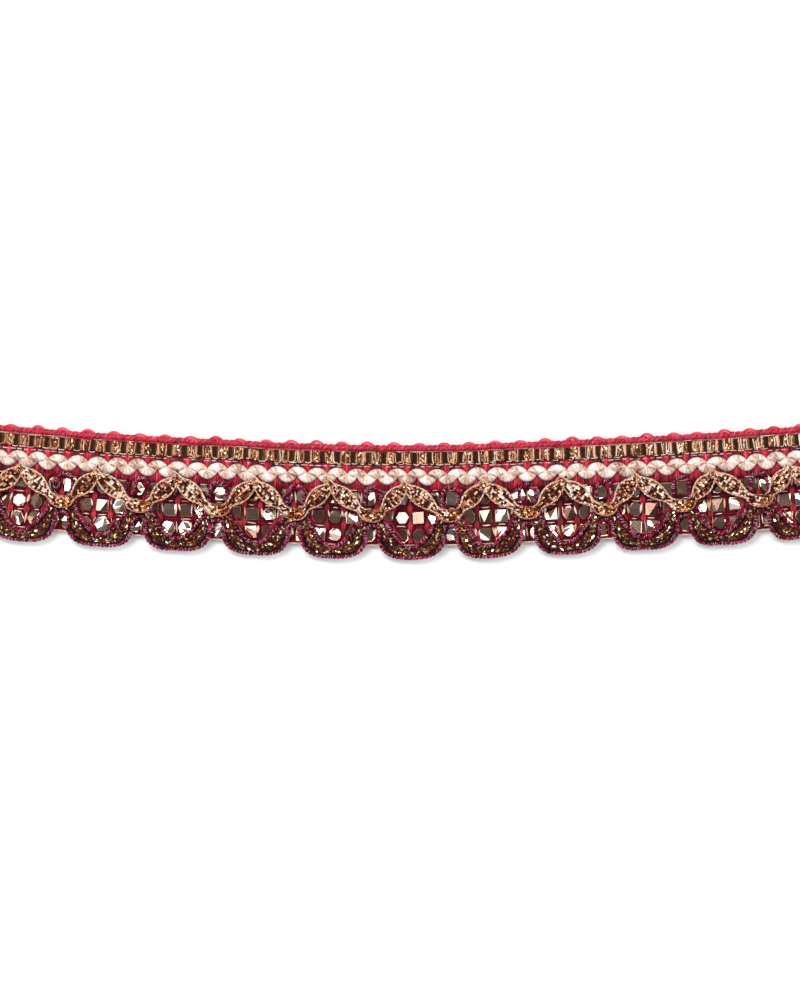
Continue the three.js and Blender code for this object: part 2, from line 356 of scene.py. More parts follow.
def addPiece(mesh, materials, nodes=(), smooth=True):
    piece = bpy.data.objects.new(mesh.name, mesh)
    bpy.context.scene.collection.objects.link(piece)
    for material in materials:
        mesh.materials.append(material)
    mesh.polygons.foreach_set("use_smooth", [smooth] * len(mesh.polygons))
    mesh.update()
    if nodes:
        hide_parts(*nodes)
    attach(piece, "root")
    triangles = sum(len(face.vertices) - 2 for face in mesh.polygons)
    print(piece.name, triangles, "triangles")
    return piece


def closeUp(mesh, mergeMm=0.0):
    # merges a seam, fills open ends and points every face outwards
    bm = bmesh.new()
    bm.from_mesh(mesh)
    if mergeMm:
        bmesh.ops.remove_doubles(bm, verts=bm.verts, dist=mergeMm * mm)
    rims = [edge for edge in bm.edges if edge.is_boundary]
    if rims:
        bmesh.ops.holes_fill(bm, edges=rims, sides=0)
    bmesh.ops.recalc_face_normals(bm, faces=bm.faces)
    bm.to_mesh(mesh)
    bm.free()


def thicken(mesh, thicknessMm, facets=False):
    # gives a sheet its thickness, downwards from the side that shows
    bm = bmesh.new()
    bm.from_mesh(mesh)
    if facets:
        bmesh.ops.triangulate(bm, faces=bm.faces)
    bmesh.ops.recalc_face_normals(bm, faces=bm.faces)
    if sum(face.normal.z for face in bm.faces) < 0:
        bmesh.ops.reverse_faces(bm, faces=bm.faces)
    bmesh.ops.solidify(bm, geom=bm.faces, thickness=thicknessMm * mm)
    bmesh.ops.recalc_face_normals(bm, faces=bm.faces)
    bm.to_mesh(mesh)
    bm.free()


def tubeMesh(name, strands, sides):
    # a strand is a line of strip points, with one radius in mm and one shade from 0 to 1, or with
    # one of each for every point
    curve = bpy.data.curves.new(name, "CURVE")
    curve.dimensions = "3D"
    curve.bevel_depth = mm
    curve.bevel_resolution = (sides - 4) // 2
    for strand in strands:
        points = onTrim(strand["line"]) * mm
        spline = curve.splines.new("POLY")
        spline.points.add(len(points) - 1)
        spline.points.foreach_set("co", np.column_stack([points, np.ones(len(points))]).ravel())
        spline.points.foreach_set("radius", np.broadcast_to(strand["radius"], len(points)).copy())
    carrier = bpy.data.objects.new(name, curve)
    bpy.context.scene.collection.objects.link(carrier)
    bpy.context.view_layer.update()
    seen = carrier.evaluated_get(bpy.context.evaluated_depsgraph_get())
    mesh = bpy.data.meshes.new_from_object(seen)
    bpy.data.objects.remove(carrier)
    bpy.data.curves.remove(curve)
    mesh.name = name
    counts = [len(strand["line"]) for strand in strands]
    owner = np.repeat(np.arange(len(strands)), np.array(counts) * sides)
    shades = [np.broadcast_to(strand["shade"], count) for strand, count in zip(strands, counts)]
    setShade(mesh, np.repeat(np.concatenate(shades), sides))
    lengths = np.array([runOf(strand["line"])[-1] for strand in strands])
    strandAt = owner[cornersOf(mesh)]
    uv = np.zeros(len(mesh.loops) * 2)
    layer = mesh.uv_layers[0].data
    layer.foreach_get("uv", uv)
    uv = uv.reshape(-1, 2)
    offset = 0.37  # starts each strand's pattern at its own place, in mm
    uv[:, 0] = uv[:, 0] * lengths[strandAt] + strandAt * offset
    layer.foreach_set("uv", uv.ravel())
    closeUp(mesh)
    return mesh


def strandOf(along, down, up, radius, shade):
    line = np.stack(np.broadcast_arrays(along, down, up), 1).astype(float)
    return {"line": line, "radius": radius, "shade": shade}


def gridMesh(name, alongCount, acrossCount, place, closed=False):
    # a grid whose u and v, both 0 to 1, place sends to strip points
    bm = bmesh.new()
    bm.loops.layers.uv.new("UVMap")
    bmesh.ops.create_grid(
        bm, x_segments=alongCount, y_segments=acrossCount, size=0.5, calc_uvs=True
    )
    mesh = bpy.data.meshes.new(name)
    bm.to_mesh(mesh)
    bm.free()
    flat = readPoints(mesh)
    points, shade, uv = place(flat[:, 0] + 0.5, flat[:, 1] + 0.5)
    setShade(mesh, shade)
    mesh.vertices.foreach_set("co", (onTrim(points) * mm).ravel())
    mesh.uv_layers[0].data.foreach_set("uv", uv[cornersOf(mesh)].ravel())
    if closed:
        closeUp(mesh, 0.001)
    return mesh


def runOf(line):  # length along a line at each of its points
    return np.concatenate([[0], np.cumsum(np.linalg.norm(np.diff(line, axis=0), axis=1))])


def headingOf(line):  # the way a line runs at each of its points, seen from above
    heading = np.gradient(line[:, :2], axis=0)
    return heading / np.linalg.norm(heading, axis=1)[:, None]


def beside(line, heading, aside, lift=0.0):  # the same line moved aside and up
    along = line[:, 0] - aside * heading[:, 1]
    down = line[:, 1] + aside * heading[:, 0]
    return np.stack([along, down, line[:, 2] + lift], 1)


def smoothLine(points, fine=10):  # a curve through all the points
    ends = np.vstack([2 * points[0] - points[1], points, 2 * points[-1] - points[-2]])
    share = (np.arange(fine) / fine)[:, None]
    parts = []
    for a, b, c, d in zip(ends[:-3], ends[1:-2], ends[2:-1], ends[3:]):
        curve = 2 * b + (c - a) * share + (2 * a - 5 * b + 4 * c - d) * share**2
        parts.append((curve + (3 * b - a - 3 * c + d) * share**3) / 2)
    return np.vstack(parts + [points[-1:]])


def evenLine(points, step):  # the same line with points about step apart
    run = runOf(points[:, :2])
    spots = np.linspace(0, run[-1], max(int(run[-1] / step), 2) + 1)
    return np.stack([np.interp(spots, run, column) for column in points.T], 1)


def straightLine(down, up, step):
    along = np.arange(firstValley, lastValley + step / 2, step)
    along[-1] = lastValley
    return np.stack([along, np.full_like(along, down), np.full_like(along, up)], 1)


def twistAround(line, spread, lay, phase):
    # a strand that winds round a line, one turn in each lay
    angle = phase + fullTurn * runOf(line) / lay
    return beside(line, headingOf(line), spread * np.cos(angle), spread * np.sin(angle))


def wanderOf(rng, count, reach):  # a slow random drift
    return np.convolve(rng.uniform(-reach, reach, count + 4), np.ones(5) / 5, "valid")


def pliedStrands(rng, line, cord):
    # plies twisted round a line, each with two finer yarns wound round it
    strands = []
    for ply in range(cord["plies"]):
        turn = fullTurn * ply / cord["plies"]
        plyLine = twistAround(line, cord["plySpread"], cord["lay"], turn)
        shade = cord["plyTone"] + cord["plyStep"] * ply + wanderOf(rng, len(line), cord["plyDrift"])
        strands.append({"line": plyLine, "radius": cord["plyRadius"], "shade": shade})
        for yarn in range(2):
            turn = math.pi * yarn + ply
            yarnLine = twistAround(plyLine, cord["yarnSpread"], cord["yarnLay"], turn)
            tone = cord["yarnTone"] + cord["yarnStep"] * yarn
            shade = np.clip(tone + wanderOf(rng, len(line), cord["yarnDrift"]), *cord["toneLimits"])
            strands.append({"line": yarnLine, "radius": cord["yarnRadius"], "shade": shade})
    return strands


def middlesOf(piece):
    # where the repeats of a piece lie along the trim, apart from those too near a cut end
    count = int(lastValley / piece["pitch"]) + 3
    middles = [piece["phase"] + number * piece["pitch"] for number in range(-count, count)]
    return [middle for middle in middles if isWithin(middle, piece["endGap"])]


def waveLine(route, turnKey, step, turnLead=0.0, deepens=True):
    # a wave from end to end from its half route, stretched to each scallop's own turning point
    last = route[-1]["across"]
    pitch = strip["pitch"]
    stations = []
    for index, row in enumerate(scallopRows):
        valley = firstValley + index * pitch
        turn = pitch / 2 - turnLead + row[turnKey]
        deeper = (row["depth"] - strip["nominalDepth"]) if deepens else 0
        # out from the valley to the turn, then back from the turn to the next valley
        for start, width, half in (
            (valley, turn, route[:-1]),
            (valley + pitch, turn - pitch, route[:0:-1]),
        ):
            for point in half:
                reach = point["across"] / last
                down = point["down"] + deeper * reach**2
                stations.append((start + width * reach, down, point.get("half", 0)))
    stations.append((lastValley, route[0]["down"], route[0].get("half", 0)))
    return evenLine(smoothLine(np.array(stations)), step)


# The woven ground tape
tape = {
    "top": 0.2,
    "bottom": 19.5,
    "ribDepth": 0.05,
    "acrossSteps": 8,
    "clearance": 0.02,  # its back stays this far off the surface it lies on
}


def makeWovenTape():
    ribs = int(trimLength / weave["ribMm"])

    def lay(u, v):
        along = firstValley + u * trimLength
        down = tape["top"] + v * (tape["bottom"] - tape["top"])
        rib = np.cos(fullTurn * u * ribs) * tape["ribDepth"] / 2
        up = layers["tapeTop"] - tape["ribDepth"] / 2 + rib
        points = np.stack([along, down, up], 1)
        return points, np.full(len(u), 0.5), np.stack([along, down], 1)

    mesh = gridMesh("wovenTape", ribs * 2, tape["acrossSteps"], lay)
    thicken(mesh, layers["tapeTop"] - tape["ribDepth"] - tape["clearance"])
    piece = addPiece(mesh, [crimsonWeave], ["woven_tape"])


# The twisted cord on the straight edge, with a short lump of yarn drawn over it at each stitch
edgeCord = {
    "down": 0.46,
    "up": 1.85,
    "step": 0.24,
    "plies": 3,
    "plySpread": 0.27,
    "plyRadius": 0.3,
    "lay": 3.4,
    "yarnSpread": 0.17,
    "yarnRadius": 0.15,
    "yarnLay": 1.5,
    "plyTone": 0.45,
    "plyStep": 0.0,
    "plyDrift": 0.5,
    "yarnTone": 0.6,
    "yarnStep": 0.3,
    "yarnDrift": 0.8,
    "toneLimits": (-0.2, 1.7),
    "lumpPitch": 4.95,
    "phase": 4.2,
    "lumpYarns": 4,
    "lumpReach": 1.75,
    "lumpRise": 0.9,
    "lumpLift": 0.42,
    "lumpRadius": 0.2,
    "endGap": 1.5,  # there is no lump this near a cut end
    "underDown": 1.16,  # a plain yarn lies between the cord and the ribbon below it
    "underUp": 1.3,
    "underRadius": 0.22,
}


def makeEdgeCord():
    rng = np.random.default_rng(11)
    line = straightLine(edgeCord["down"], edgeCord["up"], edgeCord["step"])
    strands = pliedStrands(rng, line, edgeCord)
    count = int(lastValley / edgeCord["lumpPitch"]) + 2
    share = np.linspace(-1, 1, 13)
    arch = (1 - share**2) * (1 - 0.3 * share)  # a lump rises fast and falls slowly
    for lump in range(-count, count):
        middle = edgeCord["phase"] + lump * edgeCord["lumpPitch"] + rng.uniform(-0.2, 0.2)
        if not isWithin(middle, edgeCord["endGap"]):
            continue
        tall = edgeCord["lumpRise"] * rng.uniform(0.75, 1.15)
        for yarn in range(edgeCord["lumpYarns"]):
            inner = yarn / edgeCord["lumpYarns"]
            along = middle + edgeCord["lumpReach"] * (1 - 0.22 * inner) * share
            down = edgeCord["down"] + 0.2 + 0.34 * inner - (tall + 0.16) * arch + 0.18 * share
            up = edgeCord["up"] + 0.02 + edgeCord["lumpLift"] * arch * (0.6 + 0.4 * inner)
            # painted light: each lump is painted brighter at its crest and darker at its ends, where it
            # dives under the cord
            shade = 0.52 + 0.3 * arch - 0.5 * np.abs(share) ** 3 + rng.uniform(-0.2, 0.2)
            strands.append(strandOf(along, down, up, edgeCord["lumpRadius"], shade))
    under = straightLine(edgeCord["underDown"], edgeCord["underUp"], 0.6)
    shade = 0.8 + wanderOf(rng, len(under), 0.5)
    strands.append({"line": under, "radius": edgeCord["underRadius"], "shade": shade})
    addPiece(tubeMesh("edgeCord", strands, 6), [crimsonYarn], ["edge_cord"])


# The film ribbon under it: smooth dark windows, crumpled where a thread binds each repeat
ladder = {
    "pitch": 2.97,
    "phase": 0.47,  # where a crumpled bar is centred
    "top": 1.36,
    "bottom": 3.52,
    "lift": 0.4,  # above the tape
    "thickness": 0.12,
    "windowShare": 0.5,
    "hollow": 0.1,  # how deep a window sinks in its middle
    "crumple": 0.2,
    "stepsAlong": 12,  # in each repeat
    "stepsAcross": 6,
    "wireRadius": 0.085,
    "wireUp": 1.58,
    "endGap": 1.2,
    "rowEndGap": 1.6,
    "rows": [
        {"down": 1.22, "shown": 0.65, "reach": 1.5, "low": 0.5, "pitch": 3.1, "bow": 0.03},
        {"down": 3.62, "shown": 0.75, "reach": 0.75, "low": 0.7, "pitch": 1.5, "bow": 0.14},
        {"down": 4.16, "shown": 0.75, "reach": 0.6, "low": 0.65, "pitch": 1.35, "bow": 0.02},
    ],
}


def makeLadderRibbon():
    rng = np.random.default_rng(23)
    repeats = int(trimLength / ladder["pitch"])
    alongSteps = repeats * ladder["stepsAlong"]
    jitter = rng.uniform(-1, 1, (alongSteps + 1, ladder["stepsAcross"] + 1, 3))
    tone = rng.uniform(0, 1, (alongSteps + 1, ladder["stepsAcross"] + 1))
    tilts = rng.uniform(-0.05, 0.05, repeats * 2 + 4)
    brights = rng.uniform(0.35, 1.0, repeats * 2 + 4)

    def lay(u, v):
        along = firstValley + u * trimLength
        down = ladder["top"] + v * (ladder["bottom"] - ladder["top"])
        turn = (along - ladder["phase"]) / ladder["pitch"]
        away = np.abs(turn - np.round(turn)) * 2  # 0 on a bar, 1 in the middle of a window
        crumpled = np.clip((1 - ladder["windowShare"] - away) * 5, 0, 1)
        i = np.round(u * alongSteps).astype(int)
        k = np.round(v * ladder["stepsAcross"]).astype(int)
        which = np.clip(np.round(turn).astype(int) + repeats, 0, len(brights) - 1)
        wild = jitter[i, k] * (crumpled * (0.5 + 0.5 * brights[which]))[:, None]
        window = np.clip(np.floor(turn).astype(int) + repeats, 0, len(tilts) - 1)
        rise = ladder["hollow"] * np.clip((1 - away) / ladder["windowShare"], 0, 1) ** 2
        flat = layers["tapeTop"] + ladder["lift"]
        up = flat + rise + 0.1 * crumpled + tilts[window] * (v - 0.5) * 2
        up = up + wild[:, 2] * ladder["crumple"]
        points = np.stack([along + wild[:, 0] * 0.08, down + wild[:, 1] * 0.1, up], 1)
        paintedLightGain = 1 + 0.25 * along / lastValley  # painted light: the tones grow brighter towards the last scallops
        # painted highlight: the crumpled bars are painted paler than the smooth windows of the same
        # film, over a random tone on each facet
        shade = 0.1 + crumpled * brights[which] * paintedLightGain * (0.15 + 0.85 * tone[i, k] ** 1.5)
        return points, shade, np.stack([along, down], 1)

    mesh = gridMesh("ladderRibbon", alongSteps, ladder["stepsAcross"], lay)
    thicken(mesh, ladder["thickness"], facets=True)
    addPiece(mesh, [bronzeFilm], ["ladder_ribbon"], smooth=False)


def makeLadderWires():
    # creases and loose threads of the film, drawn as pale strands: the creases' paleness is a painted
    # highlight, and all of them are painted brighter towards the last scallops as painted light
    rng = np.random.default_rng(29)
    edge = (1 - ladder["windowShare"]) * ladder["pitch"] / 2
    strands = []
    share = np.linspace(0, 1, 8)
    for bar in middlesOf(ladder):
        paintedLightGain = 0.8 + 0.3 * bar / lastValley
        for spot in (-edge, edge, rng.uniform(-edge, edge), rng.uniform(-edge, edge)):
            if rng.uniform() < 0.2:
                continue
            slant = rng.uniform(-0.16, 0.16)
            bow = rng.uniform(-0.12, 0.12) * np.sin(math.pi * share)
            along = bar + spot + slant * (share - 0.5) * 2 + bow
            if rng.uniform() < 0.3:  # some turn the corner under the window
                along = along + np.clip(share - 0.8, 0, 1) * 5 * rng.choice([-0.7, 0.7])
            begin = ladder["top"] + rng.uniform(-0.1, 0.25)
            end = ladder["bottom"] + rng.uniform(-0.25, 0.12)
            down = begin + (end - begin) * np.minimum(share * 1.15, 1)
            up = ladder["wireUp"] + 0.16 * np.sin(math.pi * share)
            radius = ladder["wireRadius"] * rng.uniform(0.6, 1.5)
            strands.append(strandOf(along, down, up, radius, paintedLightGain * rng.uniform(0.4, 1.15)))
    share = np.linspace(-1, 1, 7)
    gap = ladder["rowEndGap"]
    for row in ladder["rows"]:  # dashes of thread above the ribbon and below it
        for middle in np.arange(firstValley + gap, lastValley - gap, row["pitch"]):
            if rng.uniform() > row["shown"]:
                continue
            reach = row["reach"] * rng.uniform(0.45, 1.0)
            bow = row["bow"] * rng.uniform(0.3, 1.3) * (1 - share**2)
            down = row["down"] + bow + rng.uniform(-0.06, 0.06)
            up = ladder["wireUp"] - 0.08 * share**2
            radius = ladder["wireRadius"] * rng.uniform(0.6, 1.2)
            shade = rng.uniform(row["low"], 1.0)
            strands.append(strandOf(middle + reach * share, down, up, radius, shade))
    addPiece(tubeMesh("ladderWires", strands, 6), [paleGoldYarn])


# Crimson stitches that hold the pearl cord, the satin floats round it, and the yarns between the film
# bubbles, which are painted brightest where the film rows meet and darker between the bubbles, as
# painted light and shade
stitches = {
    "radius": 0.16,
    "floatRows": [
        {"top": 3.75, "bottom": 5.3, "dim": 0.0, "side": -1},
        {"top": 6.9, "bottom": 9.0, "dim": 0.2, "side": 1},
    ],
    "floatStep": 0.24,
    "fanYarns": 6,
    "fanRise": 0.55,
    "fanRows": [
        {"offset": 0.5, "foot": 3.8, "spread": 0.72},  # the offset is in repeats of the cord
        {"offset": 0.0, "foot": 8.9, "spread": 1.05},
    ],
    "fanTip": 6.0,
    "columnYarns": 4,
    "columnSpread": 0.19,
    "columnRadius": 0.14,
    "columnUp": 1.42,
    "columnTops": [8.6, 9.2, 10.6],
    "columnBottoms": [19.1, 16.6, 13.4],
    "rowGaps": (8.9, 12.3, 15.8, 19.1),
    "sideFloats": 150,
    "sideUp": 1.78,
}


def satinFloats(rng):
    strands = []
    share = np.linspace(0, 1, 7)
    for along in np.arange(firstValley + 0.5, lastValley - 0.5, stitches["floatStep"]):
        for row in stitches["floatRows"]:
            if rng.uniform() < 0.15:
                continue
            turn = math.cos(fullTurn * (along - pearl["phase"]) / pearl["pitch"])
            down = row["top"] + (row["bottom"] - row["top"]) * share + rng.uniform(-0.1, 0.1)
            up = layers["tapeTop"] + 0.1 + 0.16 * np.sin(math.pi * share)
            # painted shade: the floats are darker beside the pearl lobes and lighter in the notches
            # between them
            shade = 0.28 + row["dim"] + 0.14 * turn * row["side"] + rng.uniform(-0.28, 0.34)
            lean = rng.uniform(-0.12, 0.12) * share
            strands.append(strandOf(along + lean, down, up, stitches["radius"] * 0.8, shade))
    return strands


def stitchFans(rng):  # between two lobes, drawn together towards the middle of the cord
    strands = []
    share = np.linspace(0, 1, 7)
    count = int(lastValley / pearl["pitch"]) + 1
    for repeat in range(-count - 1, count + 1):
        for row in stitches["fanRows"]:
            middle = pearl["phase"] + (repeat + row["offset"]) * pearl["pitch"]
            if not isWithin(middle, 0.9):
                continue
            spread = row["spread"] * rng.uniform(0.8, 1.15)
            tone = rng.uniform(-0.12, 0.1)
            tilt = rng.uniform(-0.2, 0.2)
            for yarn in range(stitches["fanYarns"]):
                aside = (yarn / (stitches["fanYarns"] - 1) - 0.5) * 2
                along = middle + aside * (spread * (1 - share) ** 0.7 + 0.12) + tilt * (1 - share)
                along = along + rng.uniform(-0.06, 0.06)
                arch = np.sin(math.pi * np.clip(share + 0.12, 0, 1)) ** 0.7
                rise = stitches["fanRise"] * arch
                up = layers["tapeTop"] + 0.06 + rise * (1 - 0.35 * aside**2)
                down = row["foot"] + (stitches["fanTip"] - row["foot"]) * share
                # painted shade: the yarns at a fan's sides, beside the lobes, are darker than those in
                # its middle
                shade = 0.74 + tone - 0.42 * abs(aside + 0.2) + rng.uniform(-0.18, 0.18)
                radius = stitches["radius"] * rng.uniform(0.85, 1.15)
                strands.append(strandOf(along, down, up, radius, shade))
    return strands


def bubbleColumns(rng):  # yarns between two bubbles, which swell where two film rows meet
    strands = []
    yarns = stitches["columnYarns"]
    columns = int(lastValley / film["pitch"]) + 2
    for column in range(-columns, columns):
        middle = film["phase"] + (column + 0.5) * film["pitch"]
        if not isWithin(middle, 0.5) or rng.uniform() < 0.15:
            continue
        top = rng.choice(stitches["columnTops"])
        down = np.linspace(top, rng.choice(stitches["columnBottoms"]), 22)
        nearest = np.min([np.abs(down - gap) for gap in stitches["rowGaps"]], axis=0)
        tone = rng.uniform(0.4, 1.0)
        for yarn in range(yarns):
            aside = (yarn - (yarns - 1) / 2) * stitches["columnSpread"]
            swell = 0.4 + 0.85 * np.exp(-((nearest / 0.75) ** 2))
            along = middle + aside * swell + wanderOf(rng, len(down), 0.14)
            # painted light where two film rows meet, painted shade between the bubbles
            lit = 0.42 * np.exp(-((nearest / 0.9) ** 2))
            shade = tone * (0.2 + lit + rng.uniform(-0.2, 0.25))
            up = stitches["columnUp"] + 0.12 * swell
            strands.append(strandOf(along, down, up, stitches["columnRadius"] * swell, shade))
    return strands


def scallopFloats(rng):  # loose yarns along the inside of the deep U of each scallop
    strands = []
    line = waveLine(innerWave, "low", 0.3)
    heading = headingOf(line)
    inside = np.flatnonzero((line[:, 1] > 12.5) & (line[:, 1] < 19))
    for spot in rng.choice(inside[5:-5], stitches["sideFloats"], replace=False):
        begin = max(spot - rng.integers(2, 5), 0)
        part = slice(begin, begin + 7)
        points = beside(line[part], heading[part], -rng.uniform(0.35, 1.1))
        up = stitches["sideUp"] + 0.12 * np.sin(np.linspace(0, math.pi, len(points)))
        radius = rng.uniform(0.08, 0.16)
        shade = rng.uniform(0.1, 0.7)
        strands.append(strandOf(points[:, 0], points[:, 1], up, radius, shade))
    return strands


def makeCrimsonStitches():
    rng = np.random.default_rng(37)
    strands = satinFloats(rng) + stitchFans(rng) + bubbleColumns(rng) + scallopFloats(rng)
    addPiece(tubeMesh("crimsonStitches", strands, 4), [crimsonYarn])


# The pearl cord swings up and down in two rows of fat lobes, each a low shell of floss. The
# lines of floss fan out from the lobe's foot
pearl = {
    "pitch": 3.865,
    "phase": 0.77,  # where an upper lobe is centred
    "reachAlong": 1.87,
    "rows": [
        {"down": 5.72, "out": 1.18, "inward": 0.95, "side": -1, "foot": (0.7, 0.95)},
        {"down": 6.2, "out": 1.56, "inward": 0.6, "side": 1, "foot": (-0.3, 0.75)},
    ],
    "bedGap": 0.03,
    "rimUp": 1.3,
    "height": 1.35,
    "flossPerRad": 7.5,
    "groove": 0.07,
    "crumple": 0.1,
    "seamWidth": 0.13,  # as a share of the height, where two lobes meet
    "seamDepth": 0.22,
    "taper": 0.55,
    "alongStep": 0.19,
    "around": 54,
}


def makePearlZigzag():
    rng = np.random.default_rng(41)
    lobes = int(trimLength / pearl["pitch"]) + 4
    uneven = rng.uniform(-1, 1, (2, 4, lobes * 2))
    alongSteps = int(trimLength / pearl["alongStep"])
    bed = layers["tapeTop"] + pearl["bedGap"]

    def lobeOf(along, row, number):  # which lobe is here, how full it is and where its edge lies
        turn = (along - pearl["phase"]) / pearl["pitch"] + 0.5 * number
        which = np.clip(np.round(turn).astype(int) + lobes, 0, lobes * 2 - 1)
        share = np.clip((turn - np.round(turn)) * pearl["pitch"] / pearl["reachAlong"], -1, 1)
        full = np.cos(math.pi / 2 * share) ** pearl["taper"]
        out = row["out"] * (1 + 0.08 * uneven[number, 0][which])
        return share, which, full, out, row["down"] + row["side"] * out * full

    def lay(u, v):
        along = firstValley + u * trimLength
        angle = fullTurn * v
        sides = [lobeOf(along, row, number) for number, row in enumerate(pearl["rows"])]
        high, low = sides[0][4], sides[1][4]
        down = (low + high) / 2 - (low - high) / 2 * np.cos(angle)
        crowns = []
        fans = []
        tones = []
        for number, row in enumerate(pearl["rows"]):
            share, which, full, out = sides[number][:4]
            aside = (down - row["down"]) * row["side"]
            reach = np.where(aside > 0, out, row["inward"]) * full + 1e-6
            tall = (1 + 0.12 * uneven[number, 1][which]) * full**0.5
            crowns.append(tall * np.sqrt(np.clip(1 - (aside / reach) ** 2, 0, 1)))
            footAlong, footAside = row["foot"]
            turned = np.arctan2(share * pearl["reachAlong"] - footAlong, aside + footAside)
            fans.append(turned * pearl["flossPerRad"] + 3 * uneven[number, 2][which])
            tones.append(0.5 * uneven[number, 3][which] + 0.8 * np.sin(turned * 3 + which))
        upper = crowns[0] > crowns[1]
        crown = np.maximum(crowns[0], crowns[1])
        fan = np.where(upper, fans[0], fans[1])
        fine = np.abs(np.sin(fan))
        seam = np.exp(-(((crowns[0] - crowns[1]) / pearl["seamWidth"]) ** 2)) * (crown > 0.1)
        tone = np.where(upper, tones[0], tones[1])
        fold = np.sin(fan * 0.4 + 2 * tone)
        rise = pearl["height"] * crown**0.7 - pearl["groove"] * (1 - fine) - pearl["seamDepth"] * seam
        rise = rise + pearl["crumple"] * fold * crown
        up = np.where(np.sin(angle) > 1e-6, pearl["rimUp"] + np.maximum(rise, 0), bed)
        up = np.where(np.abs(np.sin(angle)) < 1e-6, pearl["rimUp"], up)
        # painted sheen and shade: each lobe's rim is painted brighter and its crown darker, for the
        # floss's lustre, and painted shade darkens the grooves between the floss lines and the seam
        # where two lobes meet; tone is a random tone over each lobe
        shade = 0.66 + 0.22 * tone + 0.36 * (fine - 0.6) - 0.5 * (crown - 0.7) - 0.6 * seam
        return np.stack([along, down, up], 1), shade, np.stack([along, v], 1)

    mesh = gridMesh("pearlZigzag", alongSteps, pearl["around"], lay, closed=True)
    addPiece(mesh, [pearlFloss], ["pearl_zigzag"])


# Softboxes round the trim: which way they stand, how far from straight up and how far off in
# metres, their size in metres and their brightness. There is a dark gap over the camera
softboxes = [
    {"name": "keyBox", "azimuth": 120, "fromUp": 36, "far": 0.8, "size": (0.4, 0.4), "radiance": 9.5},
    {"name": "leftBox", "azimuth": 195, "fromUp": 44, "far": 0.5, "size": (0.18, 0.25), "radiance": 5.0},
    {"name": "rightBox", "azimuth": 20, "fromUp": 38, "far": 1.0, "size": (0.3, 0.5), "radiance": 6.0},
    {"name": "frontBox", "azimuth": 285, "fromUp": 42, "far": 1.0, "size": (0.4, 0.3), "radiance": 4.4},
]

# The film ribbons embossed in bubbles
film = {
    "pitch": 3.19,
    "phase": -7.22,
    "base": 1.12,
    "thickness": 0.08,
    "stepsAlong": 8,  # in each repeat
    "stepsAcross": 6,
    "swell": 0.1,
    "bubbleBase": 1.2,
    "bubbleRise": 0.42,
    "endGap": 1.4,
    "tiltDeg": 9.0,
    "litShare": 0.38,  # this share of the bubbles leans so that it mirrors a lamp
    "lampShares": [0.5, 0.2, 0.2, 0.1],  # which lamp it is, in the order of softboxes
    "footTone": 0.3,
    "rows": [
        {"name": "filmRowUpper", "node": "film_row_upper", "top": 8.55, "bottom": 12.2, "seed": 71},
        {"name": "filmRowMiddle", "node": "film_row_middle", "top": 12.4, "bottom": 15.7, "seed": 72},
        {"name": "filmRowLower", "node": "film_row_lower", "top": 15.85, "bottom": 19.3, "seed": 73},
    ],
}


def bubbleTemplate(sides, folds=()):
    # a pressed bubble of half width 1 and height 1: a steep skirt, a bevel that catches the light
    # and a top, flat or folded along lines
    bm = bmesh.new()
    corner = math.pi / sides
    bmesh.ops.create_circle(bm, cap_ends=True, segments=sides, radius=1 / math.cos(corner))
    bmesh.ops.rotate(bm, matrix=Matrix.Rotation(corner, 3, "Z"), verts=bm.verts)
    before = 1.0
    lifted = 0.0
    face = bm.faces[:][0]
    for reach, rise in ((0.98, 0.6), (0.83, 0.95)):
        bmesh.ops.inset_individual(bm, faces=[face], thickness=0.0001)
        top = list(face.verts)
        bmesh.ops.scale(bm, vec=(reach / before, reach / before, 1), verts=top)
        bmesh.ops.translate(bm, vec=(0, 0, rise - lifted), verts=top)
        before = reach
        lifted = rise
    parts = [face] + list(face.edges) + list(face.verts)
    for turn, off, drop in folds:
        normal = Vector((math.cos(turn), math.sin(turn), 0))
        middle = normal * off
        parts = bmesh.ops.bisect_plane(bm, geom=parts, plane_co=middle, plane_no=normal)["geom"]
        for vert in [item for item in parts if isinstance(item, bmesh.types.BMVert)]:
            vert.co.z -= drop * max((vert.co - middle).dot(normal), 0)
    mesh = bpy.data.meshes.new("bubble")
    bmesh.ops.recalc_face_normals(bm, faces=bm.faces)
    bm.to_mesh(mesh)
    bm.free()
    return mesh


def scatterMesh(name, copies, footTone=1.0):
    # each copy is a template mesh, a matrix, a shade and the slope that its raised part leans at
    points = []
    faces = []
    shades = []
    start = 0
    for template, matrix, shade, slope in copies:
        local = readPoints(template)
        local[:, 2] *= 1 + local[:, 0] * slope[0] + local[:, 1] * slope[1]
        faces += [[start + vertex for vertex in face.vertices] for face in template.polygons]
        turned = np.array(matrix)
        points.append(local @ turned[:3, :3].T + turned[:3, 3])
        shades.append(np.where(np.abs(local[:, 2]) > 1e-6, shade, shade * footTone))
        start += len(local)
    mesh = bpy.data.meshes.new(name)
    mesh.from_pydata(np.concatenate(points), [], faces)
    setShade(mesh, np.concatenate(shades))
    return mesh


def spotMatrix(along, down, up, turn=0.0, tilt=(0.0, 0.0), scale=(1.0, 1.0, 1.0)):
    # places a small template, in mm, on the strip
    spot = onTrim([[along, down, up]])[0] * mm
    bend = Matrix.Rotation(along / strip["bendRadius"] + turn, 4, "Z")
    lean = Matrix.Rotation(tilt[0], 4, "X") @ Matrix.Rotation(tilt[1], 4, "Y")
    size = Matrix.Diagonal((scale[0] * mm, scale[1] * mm, scale[2] * mm, 1.0))
    return Matrix.Translation(Vector(spot)) @ bend @ lean @ size


